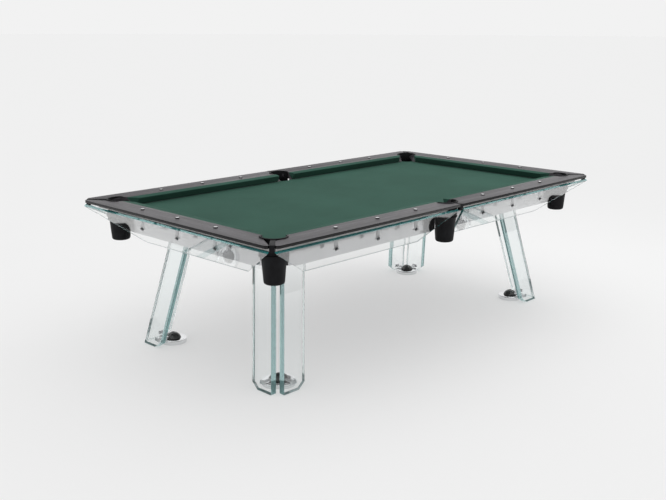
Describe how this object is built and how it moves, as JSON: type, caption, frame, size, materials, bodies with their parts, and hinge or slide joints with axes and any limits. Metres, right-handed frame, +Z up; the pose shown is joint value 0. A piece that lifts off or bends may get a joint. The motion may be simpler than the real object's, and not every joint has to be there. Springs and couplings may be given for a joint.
{
  "type": "pool table",
  "caption": "Full-size pool table with a green cloth bed, slim grey rails, tilted clear glass aprons, black pocket cups and splayed glass legs on levelling discs.",
  "frame": {"origin": "on the floor, under the centre of the playing field", "axes": "+X along the table, +Z up; the front long side faces -Y"},
  "size_m": [2.685, 1.5164, 0.81],
  "materials": {
    "slate": "ground stone with painted edges",
    "bed_cloth": "worsted wool, napless",
    "frame": "satin",
    "rail": "fine grain, dark grey satin lacquer",
    "rail_edge": "black lacquer",
    "cushion": "worsted wool over rubber",
    "sight": "polished",
    "bolt": "satin",
    "pocket_cup": "matt, moulded",
    "pocket_rim": "matt, leather grain",
    "apron_glass": "clear, polished edges with a green tint",
    "hanger": "satin",
    "apron_bolt": "dark satin",
    "leg_glass": "clear laminated, polished edges with a green tint",
    "foot_bracket": "black gloss",
    "foot_disc": "polished",
    "foot_stem": "satin"
  },
  "bodies": {
    "table": {"slate_left": "slate", "slate_middle": "slate", "slate_right": "slate", "bed_cloth": "bed_cloth", "frame_beams": "frame", "frame_corners": "frame", "rail_left_end": "rail", "rail_right_end": "rail", "rail_front_left": "rail", "rail_front_right": "rail", "rail_back_left": "rail", "rail_back_right": "rail", "rail_edge_trims": "rail_edge", "cushion_left_end": "cushion", "cushion_right_end": "cushion", "cushion_front_left": "cushion", "cushion_front_right": "cushion", "cushion_back_left": "cushion", "cushion_back_right": "cushion", "sights": "sight", "rail_bolts": "bolt", "cup_front_left": "pocket_cup", "cup_front_middle": "pocket_cup", "cup_front_right": "pocket_cup", "cup_back_left": "pocket_cup", "cup_back_middle": "pocket_cup", "cup_back_right": "pocket_cup", "rim_front_left": "pocket_rim", "rim_front_middle": "pocket_rim", "rim_front_right": "pocket_rim", "rim_back_left": "pocket_rim", "rim_back_middle": "pocket_rim", "rim_back_right": "pocket_rim", "apron_left_end": "apron_glass", "apron_right_end": "apron_glass", "apron_front_left": "apron_glass", "apron_front_right": "apron_glass", "apron_back_left": "apron_glass", "apron_back_right": "apron_glass", "apron_hangers": "hanger", "apron_bolts": "apron_bolt", "end_pane_front_left": "leg_glass", "end_pane_front_right": "leg_glass", "end_pane_back_left": "leg_glass", "end_pane_back_right": "leg_glass", "side_pane_front_left": "leg_glass", "side_pane_front_right": "leg_glass", "side_pane_back_left": "leg_glass", "side_pane_back_right": "leg_glass", "leg_heads": "frame", "leg_bolts": "bolt", "foot_brackets": "foot_bracket"},
    "foot_front_left": {"foot_disc_front_left": "foot_disc"},
    "stem_front_left": {"foot_stem_front_left": "foot_stem"},
    "foot_front_right": {"foot_disc_front_right": "foot_disc"},
    "stem_front_right": {"foot_stem_front_right": "foot_stem"},
    "foot_back_left": {"foot_disc_back_left": "foot_disc"},
    "stem_back_left": {"foot_stem_back_left": "foot_stem"},
    "foot_back_right": {"foot_disc_back_right": "foot_disc"},
    "stem_back_right": {"foot_stem_back_right": "foot_stem"}
  },
  "joints": [
    {"name": "foot_front_left_slide", "type": "slide", "parent": "table", "child": "foot_front_left", "axis": [0, 0, -1], "range_m": [0, 0.012]},
    {"name": "stem_front_left_turn", "type": "hinge", "parent": "foot_front_left", "child": "stem_front_left", "pos_m": [-1.0114, -0.4324, 0.03], "axis": [0, 0, -1], "range_deg": [-10, 2200]},
    {"name": "foot_front_right_slide", "type": "slide", "parent": "table", "child": "foot_front_right", "axis": [0, 0, -1], "range_m": [0, 0.012]},
    {"name": "stem_front_right_turn", "type": "hinge", "parent": "foot_front_right", "child": "stem_front_right", "pos_m": [1.0114, -0.4324, 0.03], "axis": [0, 0, -1], "range_deg": [-10, 2200]},
    {"name": "foot_back_left_slide", "type": "slide", "parent": "table", "child": "foot_back_left", "axis": [0, 0, -1], "range_m": [0, 0.012]},
    {"name": "stem_back_left_turn", "type": "hinge", "parent": "foot_back_left", "child": "stem_back_left", "pos_m": [-1.0114, 0.4324, 0.03], "axis": [0, 0, -1], "range_deg": [-10, 2200]},
    {"name": "foot_back_right_slide", "type": "slide", "parent": "table", "child": "foot_back_right", "axis": [0, 0, -1], "range_m": [0, 0.012]},
    {"name": "stem_back_right_turn", "type": "hinge", "parent": "foot_back_right", "child": "stem_back_right", "pos_m": [1.0114, 0.4324, 0.03], "axis": [0, 0, -1], "range_deg": [-10, 2200]}
  ],
  "couplings": [
    {"joint": "stem_front_left_turn", "follows": "foot_front_left_slide", "rad_per_m": 3141.6},
    {"joint": "stem_front_right_turn", "follows": "foot_front_right_slide", "rad_per_m": 3141.6},
    {"joint": "stem_back_left_turn", "follows": "foot_back_left_slide", "rad_per_m": 3141.6},
    {"joint": "stem_back_right_turn", "follows": "foot_back_right_slide", "rad_per_m": 3141.6}
  ]
}
